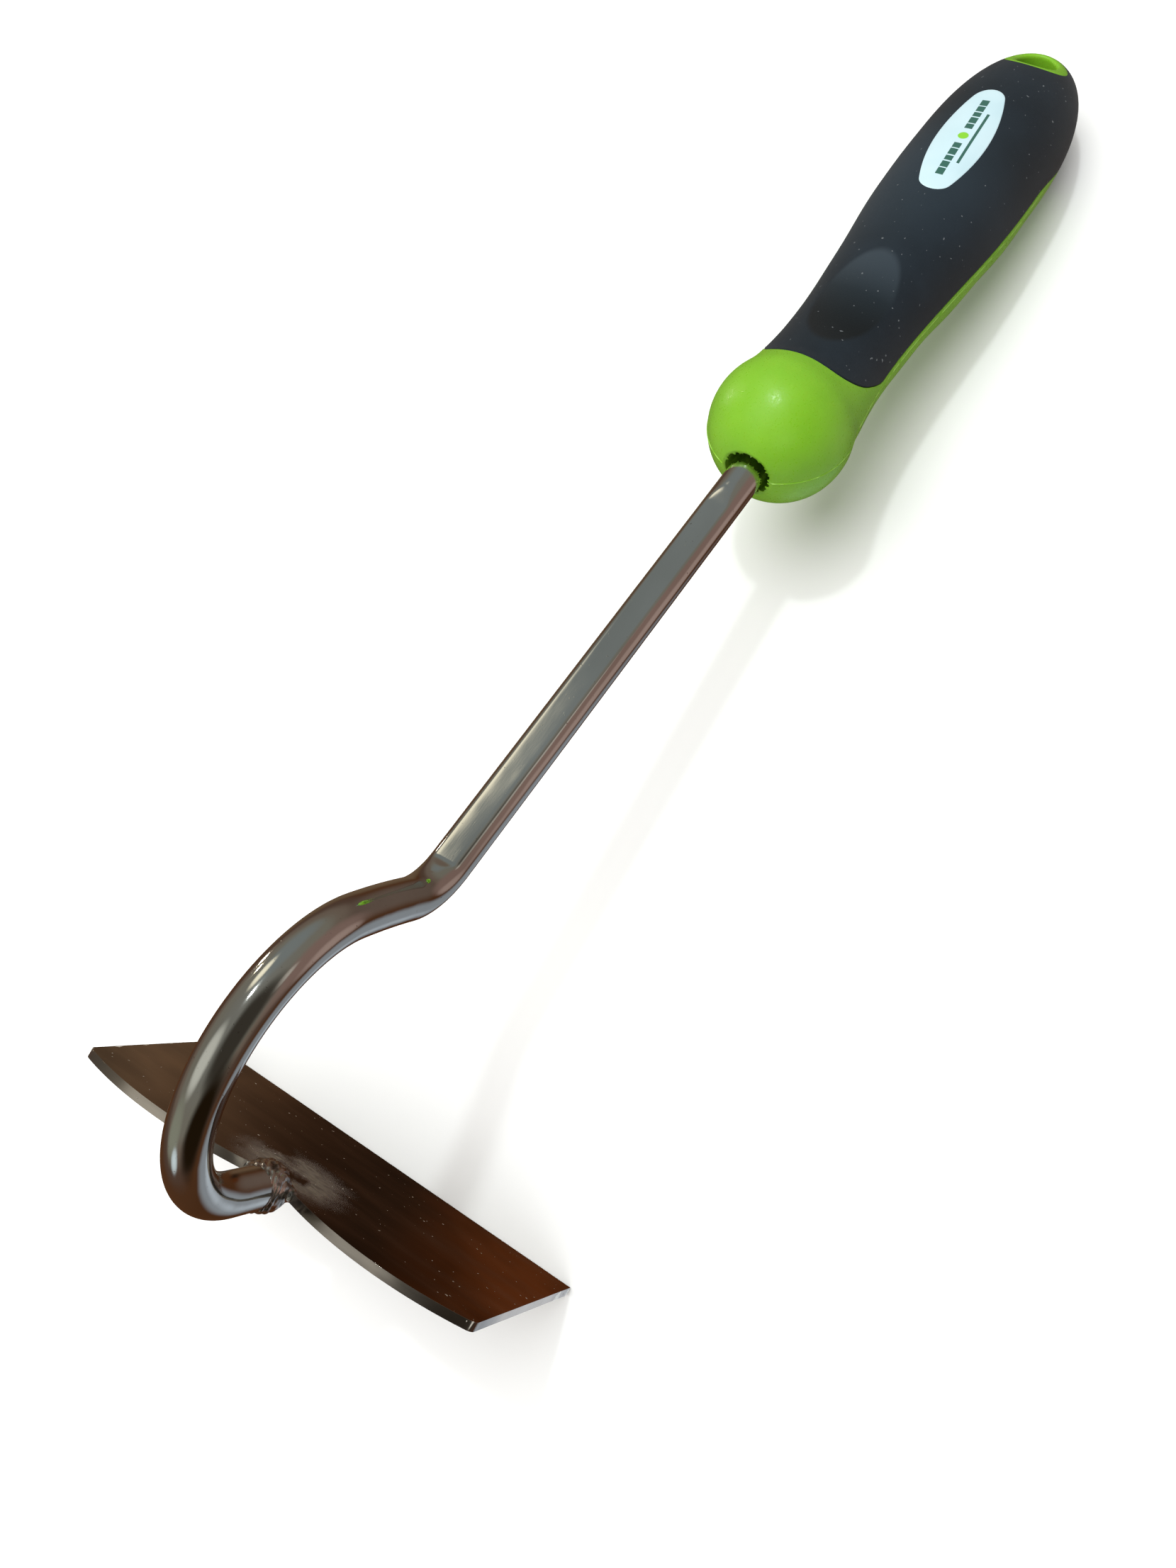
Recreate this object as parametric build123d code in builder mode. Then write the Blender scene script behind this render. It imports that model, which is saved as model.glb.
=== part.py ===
from build123d import *

import os
from math import cos, pi, radians, sin, sqrt

# A gooseneck hand hoe: a polished steel bar bent into a swan neck, a flat blade
# welded on its end, and a two-component grip moulded over its tang.
# Lengths are in millimetres, angles in degrees.
#
# The tool has its own axes, set by TOOL below: x runs along the straight shaft
# towards the grip, y across the blade and z up, with x = 0 under the first bend
# of the neck. The tool lies on level ground, +Z up, on its cutting edge and the
# underside of the butt, and the origin is on the ground under its middle.

# Resting attitude
REST_PITCH = 10.37           # how far the shaft slopes down towards the grip
TOOL_ORIGIN = (-109.55, 0, 60.9)

# Bar
BAR_RADIUS = 4
TANG_END = 218               # x of the tang's end, inside the grip
BEND_START = 16.5            # x where the straight shaft ends
DIP_RADIUS = 14.2            # first bend, which lifts the neck
DIP_TURN = 54.2
RISE_RADIUS = 170            # nearly straight climb
RISE_TURN = 5.6
ARCH_RADIUS = 27.5           # the swan neck's arch
ARCH_TURN = 161.1
NECK_END_LENGTH = 13.5       # straight stretch down to the blade
END_CHAMFER = 0.6
FLAT_DEPTH = 0.8             # flat pressed along the top of the shaft
FLAT_START = 12              # where it meets the rising neck
FLAT_START_Z = 5.2
FLAT_END = 117
FLAT_RUN_OUT = 4
EAR_POSITIONS = (160, 192)   # x of the tang's pressed ears
EAR_LENGTH = 14
EAR_WIDTH = 12
EAR_THICKNESS = 4.6
EAR_CORNER = 3

# Blade
BLADE_PITCH = 69.5           # how steeply the blade falls from the shaft's line
BLADE_THICKNESS = 1.8
BLADE_OFFSET = 0.7           # blade's middle plane, off the bar's centre line
BLADE_HEIGHT = 48            # from the seat of the bar to the cutting edge
EDGE_WIDTH = 98.6
SHOULDER_WIDTH = 91.8
SHOULDER_RISE = 0.3          # shoulder corners above the seat
LOBE_X = 23.2                # crown of each upper lobe, from the centre line
LOBE_RISE = 5.1
SEAT_HALF_WIDTH = 4
CORNER_RADIUS = 1
EDGE_BEVEL = 0.7

# Weld
BEAD_RADIUS = 5              # at its fullest, just above the seat
BEAD_RIM = 4.5               # where it dies into the bar
BEAD_UP_BAR = 6
BEAD_ONTO_BLADE = 4
TOE_RADIUS = 1.9             # run of weld along the blade's top edge
TOE_SPAN = 13

# Grip outline
BALL_X = 140.5
BALL_RADIUS = 16.2
MOUTH_RADIUS = 5.5
MOUTH_LAND = 0.6             # flat ring left round the mouth
MOUTH_DEPTH = 7
NECK_X = 166                 # slimmest section
NECK_HALF_WIDTH = 13.4
NECK_TOP = 12.3
NECK_BOTTOM = 13.2
NECK_FLARE = 0.005           # growth from the neck back towards the ball
BELLY_X = 229                # fullest section
BELLY_SWELL = 4.0            # extra half width at the belly
BELLY_TOP_SWELL = 3.5
BELLY_BOTTOM_SWELL = 2.6
RIDGE_PITCH = 25             # finger ridges on the underside
FIRST_RIDGE_X = 172
RIDGE_HEIGHT = 0.5
DOME_START = 238             # the butt closes as a superellipse from here
DOME_POWER = 2.4
BUTT_X = 280.5
BUTT_FLAT = 0.5              # tip left off the dome

# Grip details
OVERMOULD_THICKNESS = 2.2
SEAM_FRONT = 149             # x where the soft cover starts on top
SEAM_Z = 1                   # height of the seam along the sides
SEAM_SIDE_START = 164
SEAM_SIDE_END = 236
SEAM_UNDER = 262             # x where the soft cover closes underneath
HANG_HOLE_X = 269
HANG_HOLE_RADIUS = 5
HANG_BOSS_LENGTH = 13.5
HANG_BOSS_WIDTH = 16.5
DENT_X = 172                 # thumb dent
DENT_LENGTH = 32
DENT_WIDTH = 16
DENT_DEPTH = 0.9
LABEL_X = 228
LABEL_Y = 1.3                # stuck on a little to one side
LABEL_LENGTH = 51.5          # between the tips before they are rounded
LABEL_WIDTH = 12.8
LABEL_TIP_RADIUS = 4
LABEL_TWIST = 3.3            # the label sits a little askew
LABEL_THICKNESS = 0.6
REACH = 40                   # half-size of a cutter that passes right through

TOOL = Plane(
    origin=TOOL_ORIGIN,
    x_dir=(cos(radians(REST_PITCH)), 0, -sin(radians(REST_PITCH))),
    z_dir=(sin(radians(REST_PITCH)), 0, cos(radians(REST_PITCH))),
)
SIDE = Plane(origin=TOOL.origin, x_dir=TOOL.x_dir, z_dir=-TOOL.y_dir)
ALONG = Axis(TOOL.origin, TOOL.x_dir)


def tool_point(x, y, z):
    """A point given in the tool's own axes."""
    return TOOL.from_local_coords((x, y, z))


def section_plane(x, z=0):
    """Plane across the tool at x, with the tool's y and z as its x and y."""
    return Plane(origin=tool_point(x, 0, z), x_dir=TOOL.y_dir, z_dir=TOOL.x_dir)


def upright_plane(x, z, y=0):
    """Plane facing up out of the tool at x and z, and y off its middle."""
    return Plane(origin=tool_point(x, y, z), x_dir=TOOL.x_dir, z_dir=TOOL.z_dir)


# ------------------------------------------------------------ bar's centre line
with BuildLine(SIDE) as bar_axis:
    shaft = Line((TANG_END, 0), (BEND_START, 0))
    dip = JernArc(shaft @ 1, shaft % 1, DIP_RADIUS, -DIP_TURN)
    rise = JernArc(dip @ 1, dip % 1, RISE_RADIUS, RISE_TURN)
    arch = JernArc(rise @ 1, rise % 1, ARCH_RADIUS, ARCH_TURN)
    neck_end = Line(arch @ 1, arch @ 1 + (arch % 1) * NECK_END_LENGTH)

BAR_END = neck_end @ 1
BAR_END_DIRECTION = neck_end % 1

# ------------------------------------------------------------------------ blade
# BLADE_FACE is the blade's middle plane: its x runs across, its y up towards
# the bar, and it faces the grip. Its origin is the seat of the bar.
FALL = TOOL.x_dir * cos(radians(BLADE_PITCH)) - TOOL.z_dir * sin(radians(BLADE_PITCH))
FACING = FALL.cross(TOOL.y_dir)
SEAT = BAR_END + FACING * BLADE_OFFSET
BLADE_FACE = Plane(origin=SEAT, x_dir=TOOL.y_dir, z_dir=FACING)

with BuildPart() as blade:
    with BuildSketch(BLADE_FACE):
        with BuildLine():
            Line((-SEAT_HALF_WIDTH, 0), (SEAT_HALF_WIDTH, 0))
            for side in (-1, 1):
                shoulder = (side * SHOULDER_WIDTH / 2, SHOULDER_RISE)
                corner = (side * EDGE_WIDTH / 2, -BLADE_HEIGHT)
                ThreePointArc((side * SEAT_HALF_WIDTH, 0), (side * LOBE_X, LOBE_RISE), shoulder)
                Line(shoulder, corner)
            Line((-EDGE_WIDTH / 2, -BLADE_HEIGHT), (EDGE_WIDTH / 2, -BLADE_HEIGHT))
        make_face()
    extrude(amount=BLADE_THICKNESS / 2, both=True)
    shoulders = [
        edge for edge in blade.edges().filter_by(Axis(SEAT, FACING))
        if abs(abs(edge.center().Y) - SHOULDER_WIDTH / 2) < CORNER_RADIUS
    ]
    fillet(shoulders, CORNER_RADIUS)
    # The edge is ground on the back only.
    back = blade.faces().sort_by(Axis(SEAT, FACING))[0]
    chamfer(back.edges().sort_by(Axis(SEAT, FALL))[-1], EDGE_BEVEL)

# ---------------------------------------------------------------- gooseneck bar
with BuildPart() as gooseneck_bar:
    with BuildSketch(section_plane(TANG_END)):
        Circle(BAR_RADIUS)
    sweep(path=bar_axis.line)
    chamfer(gooseneck_bar.faces().sort_by(ALONG)[-1].edges(), END_CHAMFER)
    # The flat along the top runs out to nothing at both ends.
    with BuildSketch(SIDE):
        with BuildLine():
            flat_z = BAR_RADIUS - FLAT_DEPTH
            Polyline(
                (FLAT_START, FLAT_START_Z),
                (FLAT_START + FLAT_RUN_OUT, flat_z),
                (FLAT_END - FLAT_RUN_OUT, flat_z),
                (FLAT_END, BAR_RADIUS),
                (FLAT_END, FLAT_START_Z),
                close=True,
            )
        make_face()
    extrude(amount=BAR_RADIUS, both=True, mode=Mode.SUBTRACT)
    # Two pressed ears key the tang into the moulded grip.
    for ear_x in EAR_POSITIONS:
        with BuildSketch(upright_plane(ear_x, -EAR_THICKNESS / 2)):
            RectangleRounded(EAR_LENGTH, EAR_WIDTH, EAR_CORNER)
        extrude(amount=EAR_THICKNESS)
    # The bar's end is faced off to sit on the blade.
    add(blade.part, mode=Mode.SUBTRACT)

# -------------------------------------------------------------------- weld bead
with BuildPart() as weld_bead:
    with BuildSketch(Plane(origin=BAR_END, x_dir=BAR_END_DIRECTION, z_dir=TOOL.y_dir)):
        with BuildLine():
            tip = (BEAD_ONTO_BLADE, BLADE_THICKNESS / 2 + BLADE_OFFSET)
            rim = (-BEAD_UP_BAR, BEAD_RIM)
            Line((-BEAD_UP_BAR, 0), rim)
            Spline(rim, (-1, BEAD_RADIUS), tip)
            Line(tip, (BEAD_ONTO_BLADE, 0))
            Line((BEAD_ONTO_BLADE, 0), (-BEAD_UP_BAR, 0))
        make_face()
    revolve(axis=Axis(BAR_END, BAR_END_DIRECTION))
    with Locations(BLADE_FACE):
        Cylinder(TOE_RADIUS, TOE_SPAN, rotation=(0, 90, 0))
    add(blade.part, mode=Mode.SUBTRACT)
    add(gooseneck_bar.part, mode=Mode.SUBTRACT)


# ------------------------------------------------------------------------- grip
def belly(x):
    """0 at the neck, 1 at the belly and beyond."""
    share = min(max((x - NECK_X) / (BELLY_X - NECK_X), 0), 1)
    return (1 - cos(pi * share)) / 2


def dome(x, butt_x):
    """How far the butt has closed: 1 before the dome starts, 0 at its tip."""
    share = max(x - DOME_START, 0) / (butt_x - DOME_START)
    return (1 - share**DOME_POWER) ** (1 / DOME_POWER)


def ridge(x):
    """Height of the finger ridges, fading in at the neck and out at the dome."""
    fade = sin(pi * min(max((x - NECK_X) / (DOME_START - NECK_X), 0), 1)) ** 0.5
    return fade * RIDGE_HEIGHT * cos(2 * pi * (x - FIRST_RIDGE_X) / RIDGE_PITCH)


def grip_section(x, inset, butt_x):
    """Half width, top and bottom of the grip at x, behind the ball."""
    flare = NECK_FLARE * max(NECK_X - x, 0) ** 2
    closing = dome(x, butt_x)
    half_width = (NECK_HALF_WIDTH + flare + BELLY_SWELL * belly(x) - inset) * closing
    top = (NECK_TOP + flare + BELLY_TOP_SWELL * belly(x) - inset) * closing
    bottom = (NECK_BOTTOM + flare + BELLY_BOTTOM_SWELL * belly(x) + ridge(x) - inset) * closing
    return half_width, top, -bottom


def grip_solid(inset):
    """The grip's outer form, or the form a given depth below its surface."""
    radius = BALL_RADIUS - inset
    first_radius = MOUTH_RADIUS + MOUTH_LAND
    first_x = BALL_X - sqrt(radius**2 - first_radius**2)
    butt_x = BUTT_X - inset
    ball_stations = [first_x] + [BALL_X + radius * share for share in (-0.85, -0.65, -0.35, 0, 0.3)]
    grip_stations = [152, 159] + [NECK_X + RIDGE_PITCH / 4 * step for step in range(12)]
    dome_stations = [242, 249, 256, 262, 267, 271.5, 275, butt_x - 2.5, butt_x - BUTT_FLAT]
    with BuildPart() as body:
        for x in ball_stations:
            with BuildSketch(section_plane(x)):
                Circle(sqrt(radius**2 - (x - BALL_X) ** 2))
        for x in grip_stations + dome_stations:
            half_width, top, bottom = grip_section(x, inset, butt_x)
            with BuildSketch(section_plane(x, (top + bottom) / 2)):
                Ellipse(half_width, (top - bottom) / 2)
        loft()
    return body.part


outer_form = grip_solid(0)
inner_form = grip_solid(OVERMOULD_THICKNESS)
label_floor = grip_solid(LABEL_THICKNESS)

# Everything the soft cover may fill, apart from the boss round the hang hole.
with BuildPart() as cover_zone:
    with BuildSketch(SIDE):
        with BuildLine():
            Line((SEAM_FRONT, REACH), (SEAM_FRONT, 14))
            Spline(
                (SEAM_FRONT, 14), (151, 9.5), (156.3, 4.5), (SEAM_SIDE_START, SEAM_Z),
                tangents=((0, -1), (1, 0)),
            )
            Line((SEAM_SIDE_START, SEAM_Z), (SEAM_SIDE_END, SEAM_Z))
            Spline(
                (SEAM_SIDE_END, SEAM_Z), (248, -1.5), (256, -6), (SEAM_UNDER, -REACH / 2),
                tangents=((1, 0), (0, -1)),
            )
            Polyline(
                (SEAM_UNDER, -REACH / 2), (BUTT_X + REACH, -REACH / 2),
                (BUTT_X + REACH, REACH), (SEAM_FRONT, REACH),
            )
        make_face()
    extrude(amount=REACH, both=True)
    with BuildSketch(upright_plane(HANG_HOLE_X, -REACH)):
        Ellipse(HANG_BOSS_LENGTH / 2, HANG_BOSS_WIDTH / 2)
    extrude(amount=2 * REACH, mode=Mode.SUBTRACT)

with BuildPart() as cover_blank:
    add(outer_form)
    add(inner_form, mode=Mode.SUBTRACT)
    add(cover_zone.part, mode=Mode.INTERSECT)

with BuildPart() as label:
    with BuildSketch(upright_plane(LABEL_X, 0, LABEL_Y).rotated((0, 0, LABEL_TWIST))) as outline:
        with BuildLine():
            for side in (-1, 1):
                ThreePointArc(
                    (-LABEL_LENGTH / 2, 0), (0, side * LABEL_WIDTH / 2), (LABEL_LENGTH / 2, 0)
                )
        make_face()
        fillet(outline.vertices(), LABEL_TIP_RADIUS)
    extrude(amount=REACH)
    add(outer_form, mode=Mode.INTERSECT)
    add(label_floor, mode=Mode.SUBTRACT)

with BuildPart() as soft_grip:
    add(cover_blank.part)
    add(label.part, mode=Mode.SUBTRACT)
    # The thumb dent is a shallow piece of a large ring.
    across = (DENT_WIDTH**2 / 4 + DENT_DEPTH**2) / (2 * DENT_DEPTH)
    lengthwise = (DENT_LENGTH**2 / 4 + DENT_DEPTH**2) / (2 * DENT_DEPTH)
    dent_top = grip_section(DENT_X, 0, BUTT_X)[1]
    centre = tool_point(DENT_X, 0, dent_top - DENT_DEPTH + lengthwise)
    with Locations(Plane(origin=centre, x_dir=TOOL.x_dir, z_dir=TOOL.y_dir)):
        Torus(lengthwise - across, across, mode=Mode.SUBTRACT)

with BuildPart() as handle_core:
    add(outer_form)
    add(cover_blank.part, mode=Mode.SUBTRACT)
    with BuildSketch(section_plane(BALL_X - BALL_RADIUS)):
        Circle(MOUTH_RADIUS)
    extrude(amount=MOUTH_DEPTH, mode=Mode.SUBTRACT)
    add(gooseneck_bar.part, mode=Mode.SUBTRACT)
    with BuildSketch(upright_plane(HANG_HOLE_X, -REACH)):
        Circle(HANG_HOLE_RADIUS)
    extrude(amount=2 * REACH, mode=Mode.SUBTRACT)

# ----------------------------------------------------------------------- export
os.makedirs("parts", exist_ok=True)
gooseneck_bar.part.label = "gooseneck_bar"
blade.part.label = "blade"
weld_bead.part.label = "weld_bead"
handle_core.part.label = "handle_core"
soft_grip.part.label = "soft_grip"
label.part.label = "label"
export_step(gooseneck_bar.part, "parts/gooseneck_bar.step")
export_step(blade.part, "parts/blade.step")
export_step(weld_bead.part, "parts/weld_bead.step")
export_step(handle_core.part, "parts/handle_core.step")
export_step(soft_grip.part, "parts/soft_grip.step")
export_step(label.part, "parts/label.step")
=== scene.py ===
from functools import lru_cache
from math import atan2, cos, exp, log1p, pi, radians, sin, sqrt

import bmesh
import bpy
from mathutils import Matrix, Vector, noise


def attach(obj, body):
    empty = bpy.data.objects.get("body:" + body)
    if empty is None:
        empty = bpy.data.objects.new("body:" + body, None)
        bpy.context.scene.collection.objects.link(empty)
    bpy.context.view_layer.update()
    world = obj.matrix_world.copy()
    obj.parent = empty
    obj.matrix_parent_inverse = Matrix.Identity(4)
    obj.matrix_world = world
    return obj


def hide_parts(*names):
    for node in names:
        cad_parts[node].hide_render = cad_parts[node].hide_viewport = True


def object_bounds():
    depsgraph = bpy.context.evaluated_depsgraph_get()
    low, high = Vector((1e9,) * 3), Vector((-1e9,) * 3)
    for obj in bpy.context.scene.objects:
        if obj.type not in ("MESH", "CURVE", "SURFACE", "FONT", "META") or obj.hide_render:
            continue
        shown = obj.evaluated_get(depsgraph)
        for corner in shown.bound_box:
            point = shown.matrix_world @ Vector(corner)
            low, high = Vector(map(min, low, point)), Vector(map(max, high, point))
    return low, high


# Looks of the gooseneck hand hoe. Lengths are in metres unless a name says otherwise.
# The tool's own axes are those of the CAD part: x along the shaft towards the grip,
# y across the blade and z up, with x = 0 just past the first bend of the neck.

MM = 0.001
REST_PITCH = radians(10.37)
TOOL_ORIGIN = Vector((-109.55, 0, 60.9)) * MM
TOOL_X = Vector((cos(REST_PITCH), 0, -sin(REST_PITCH)))
TOOL_Y = Vector((0, 1, 0))
TOOL_Z = Vector((sin(REST_PITCH), 0, cos(REST_PITCH)))


def tool_point(x, y, z):
    """A point in the row frame from the tool's own axes, given in millimetres."""
    return TOOL_ORIGIN + (TOOL_X * x + TOOL_Y * y + TOOL_Z * z) * MM


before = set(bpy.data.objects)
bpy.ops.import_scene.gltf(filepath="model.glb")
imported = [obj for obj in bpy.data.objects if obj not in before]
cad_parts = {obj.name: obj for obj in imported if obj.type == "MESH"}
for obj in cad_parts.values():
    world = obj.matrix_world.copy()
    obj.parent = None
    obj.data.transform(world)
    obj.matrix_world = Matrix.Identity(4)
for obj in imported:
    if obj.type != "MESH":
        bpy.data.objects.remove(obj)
CAD_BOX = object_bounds()


# ---- mesh helpers
def mesh_object(name, vertices, faces, smooth_angle=radians(35)):
    """A mesh object with outward normals, smooth except over sharp edges."""
    mesh = bpy.data.meshes.new(name)
    mesh.from_pydata([tuple(v) for v in vertices], [], faces)
    tidy = bmesh.new()
    tidy.from_mesh(mesh)
    bmesh.ops.remove_doubles(tidy, verts=tidy.verts, dist=1e-7)
    bmesh.ops.recalc_face_normals(tidy, faces=tidy.faces)
    tidy.to_mesh(mesh)
    tidy.free()
    mesh.shade_smooth()
    mesh.set_sharp_from_angle(angle=smooth_angle)
    made = bpy.data.objects.new(name, mesh)
    bpy.context.scene.collection.objects.link(made)
    return made


def ring_faces(rings, points, first=0):
    """Quads between successive closed rings of points."""
    faces = []
    for r in range(rings - 1):
        for p in range(points):
            a = first + r * points + p
            b = first + r * points + (p + 1) % points
            faces.append((a, b, b + points, a + points))
    return faces


def apply_modifiers(made):
    """Turns an object's modified shape into its mesh."""
    evaluated = made.evaluated_get(bpy.context.evaluated_depsgraph_get())
    mesh = bpy.data.meshes.new_from_object(evaluated)
    made.modifiers.clear()
    made.data = mesh
    return mesh


def smoothstep(low, high, value):
    """0 up to low, 1 from high, and a smooth rise between."""
    share = min(max((value - low) / (high - low), 0), 1)
    return share * share * (3 - 2 * share)


# ---- materials
class Tree:
    """A short way to build a tree of shader nodes."""

    def __init__(self, tree):
        self.tree = tree

    def add(self, kind, **settings):
        node = self.tree.nodes.new(kind)
        for key, value in settings.items():
            setattr(node, key, value)
        return node

    def link(self, source, target):
        self.tree.links.new(source, target)

    def fill(self, socket, value):
        """Links a node's output to a socket, or sets the socket's value."""
        if isinstance(value, bpy.types.NodeSocket):
            self.link(value, socket)
        else:
            socket.default_value = (*value, 1) if isinstance(value, tuple) else value

    def calculate(self, operation, *values):
        made = self.add("ShaderNodeMath", operation=operation)
        for socket, value in zip(made.inputs, values):
            self.fill(socket, value)
        return made.outputs[0]

    def ramp(self, source, *stops, interpolation="LINEAR"):
        """Colour or grey ramp; each stop is (position, value or colour)."""
        made = self.add("ShaderNodeValToRGB")
        made.color_ramp.interpolation = interpolation
        elements = made.color_ramp.elements
        while len(elements) < len(stops):
            elements.new(0.5)
        for element, (position, value) in zip(elements, stops):
            element.position = position
            colour = value if isinstance(value, tuple) else (value, value, value)
            element.color = (*colour, 1)
        self.link(source, made.inputs["Fac"])
        return made.outputs["Color"]

    def mix(self, factor, first, second):
        made = self.add("ShaderNodeMix", data_type="RGBA")
        for socket, value in zip((made.inputs[0], made.inputs[6], made.inputs[7]), (factor, first, second)):
            self.fill(socket, value)
        return made.outputs[2]


class Nodes(Tree):
    """One procedural material, placed by the tool's own shape."""

    def __init__(self, name):
        self.material = bpy.data.materials.new(name)
        self.material.use_nodes = True
        super().__init__(self.material.node_tree)
        self.shader = self.tree.nodes["Principled BSDF"]
        self.place = self.add("ShaderNodeTexCoord").outputs["Object"]

    def set(self, **values):
        """Sets the shader's own sockets, for values that are the same all over."""
        for key, value in values.items():
            self.shader.inputs[key.replace("_", " ")].default_value = value

    def stretched(self, stretch):
        """Coordinates turned into the tool's axes and stretched."""
        mapping = self.add("ShaderNodeMapping")
        mapping.inputs["Rotation"].default_value = (0, -REST_PITCH, 0)
        mapping.inputs["Scale"].default_value = stretch
        self.link(self.place, mapping.inputs["Vector"])
        return mapping.outputs["Vector"]

    def noise(self, scale, detail=3.0, stretch=None, roughness=0.5, distortion=0.0):
        made = self.add("ShaderNodeTexNoise")
        made.inputs["Scale"].default_value = scale
        made.inputs["Detail"].default_value = detail
        made.inputs["Roughness"].default_value = roughness
        made.inputs["Distortion"].default_value = distortion
        place = self.stretched(stretch) if stretch else self.place
        self.link(place, made.inputs["Vector"])
        return made.outputs["Fac"]

    def near(self, centre, inner, outer):
        """1 within the inner distance of a point, 0 beyond the outer one."""
        gap = self.add("ShaderNodeVectorMath", operation="DISTANCE")
        gap.inputs[1].default_value = centre
        self.link(self.place, gap.inputs[0])
        return self.between(gap.outputs["Value"], outer, inner)

    def between(self, source, low, high):
        """0 at low, 1 at high, smooth in between."""
        made = self.add("ShaderNodeMapRange", interpolation_type="SMOOTHSTEP")
        made.inputs["From Min"].default_value = low
        made.inputs["From Max"].default_value = high
        self.link(source, made.inputs["Value"])
        return made.outputs["Result"]

    def times(self, first, second):
        return self.calculate("MULTIPLY", first, second)

    def plus(self, first, second):
        return self.calculate("ADD", first, second)

    def oval(self, centre, half_length, half_width, edge):
        """1 inside an oval drawn along the tool, 0 outside, at any height."""
        along = self.tool_axis(TOOL_X / half_length, centre)
        across = self.tool_axis(TOOL_Y / half_width, centre)
        reach = self.plus(self.times(along, along), self.times(across, across))
        return self.between(reach, 1 + edge, 1 - edge)

    def tool_axis(self, axis, start):
        """Distance from a point along an axis, multiplied by the axis's own length."""
        reach = self.add("ShaderNodeVectorMath", operation="SUBTRACT")
        reach.inputs[1].default_value = start
        self.link(self.place, reach.inputs[0])
        along = self.add("ShaderNodeVectorMath", operation="DOT_PRODUCT")
        along.inputs[1].default_value = axis
        self.link(reach.outputs["Vector"], along.inputs[0])
        return along.outputs["Value"]

    def band(self, value, half, edge, middle=0.0):
        """1 where a value is within half of the middle, 0 beyond, with a soft edge."""
        size = self.calculate("ABSOLUTE", self.calculate("SUBTRACT", value, middle))
        return self.between(size, half + edge, half)

    def bump(self, height, strength, distance, under=None):
        made = self.add("ShaderNodeBump")
        made.inputs["Strength"].default_value = strength
        made.inputs["Distance"].default_value = distance
        self.link(height, made.inputs["Height"])
        if under is not None:
            self.link(under, made.inputs["Normal"])
        return made.outputs["Normal"]

    def wear(self, socket, value):
        """Lets a node drive one of the shader's sockets."""
        self.link(value, self.shader.inputs[socket])


def polished_bar_steel():
    """Mirror-polished stainless bar: faint drawn lines, smears, slow waves and tiny pits."""
    m = Nodes("polished_bar_steel")
    m.set(Metallic=1.0)
    smears = m.noise(55, detail=4, stretch=(0.35, 1, 1))
    base = m.ramp(smears, (0.3, (0.50, 0.49, 0.46)), (0.7, (0.60, 0.595, 0.57)))
    pits = m.ramp(m.noise(1900, detail=1), (0.74, 0.0), (0.80, 0.5))
    m.wear("Base Color", m.mix(pits, base, (0.24, 0.21, 0.19)))
    lines = m.noise(2600, detail=2, stretch=(0.03, 1, 1))
    m.wear("Roughness", m.ramp(smears, (0.35, 0.05), (0.75, 0.16)))
    waves = m.bump(m.noise(95, detail=2, stretch=(0.5, 1, 1)), 0.45, 0.0004)
    drawn = m.bump(lines, 0.06, 0.00004, waves)
    m.wear("Normal", m.bump(pits, 0.3, 0.00005, drawn))
    return m.material


HAZE_MIDDLE = tool_point(-42.6, 0, -30)
# Middle of the painted dark reflection on the blade's face.
DARK_REFLECTION_MIDDLE = tool_point(-38, 0, -42)


def blade_steel():
    """Polished plate: clouds, streaks, specks, a rubbed haze below the weld, a painted dark reflection over
    its middle and painted highlights along its sharp edges.
    """
    m = Nodes("blade_steel")
    clouds = m.noise(26, detail=3, roughness=0.55, distortion=0.4)
    base = m.ramp(
        clouds,
        (0.36, (0.24, 0.21, 0.19)),
        (0.50, (0.46, 0.40, 0.35)),
        (0.62, (0.72, 0.60, 0.50)),
    )
    # Painted reflection: the blade's middle is mixed to a darker tone, as of the dark surroundings it mirrors
    # there.
    middle = m.near(DARK_REFLECTION_MIDDLE, 0.012, 0.042)
    base = m.mix(middle, base, (0.40, 0.36, 0.33))
    streaks = m.noise(300, detail=4, stretch=(1, 0.05, 1))
    base = m.mix(m.ramp(streaks, (0.5, 0.0), (0.8, 0.35)), base, (0.66, 0.60, 0.54))
    grainy = m.noise(1300, detail=3, stretch=(1, 0.35, 1))
    patchy = m.ramp(m.noise(110, detail=3), (0.44, 0.0), (0.58, 0.85))
    haze = m.times(m.near(HAZE_MIDDLE, 0.003, 0.015), patchy)
    base = m.mix(haze, base, m.ramp(grainy, (0.36, (0.09, 0.07, 0.05)), (0.66, (0.38, 0.33, 0.25))))
    # Painted highlight: convex sharp edges are made pale and less metallic so that they show as a bright line
    # along the blade.
    sharpness = m.add("ShaderNodeNewGeometry").outputs["Pointiness"]
    edge = m.ramp(sharpness, (0.53, 0.0), (0.58, 1.0))
    base = m.mix(edge, base, (0.86, 0.82, 0.72))
    specks = m.ramp(m.noise(1500, detail=0), (0.83, 0.0), (0.86, 1.0))
    m.wear("Base Color", m.mix(specks, base, (0.98, 0.94, 0.88)))
    m.wear("Metallic", m.ramp(m.plus(haze, edge), (0.0, 1.0), (0.85, 0.55)))
    gloss = m.ramp(m.noise(190, detail=5, stretch=(1, 0.25, 1)), (0.35, 0.08), (0.7, 0.20))
    rubbed = m.mix(haze, gloss, (0.42, 0.42, 0.42))
    m.wear("Roughness", m.mix(specks, rubbed, (0.7, 0.7, 0.7)))
    waves = m.bump(m.noise(60, detail=2, stretch=(1, 0.3, 1)), 0.3, 0.0004)
    scratches = m.bump(streaks, 0.12, 0.00008, waves)
    grain = m.bump(m.times(haze, grainy), 0.5, 0.0002, scratches)
    m.wear("Normal", m.bump(specks, 0.5, 0.0002, grain))
    return m.material


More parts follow.
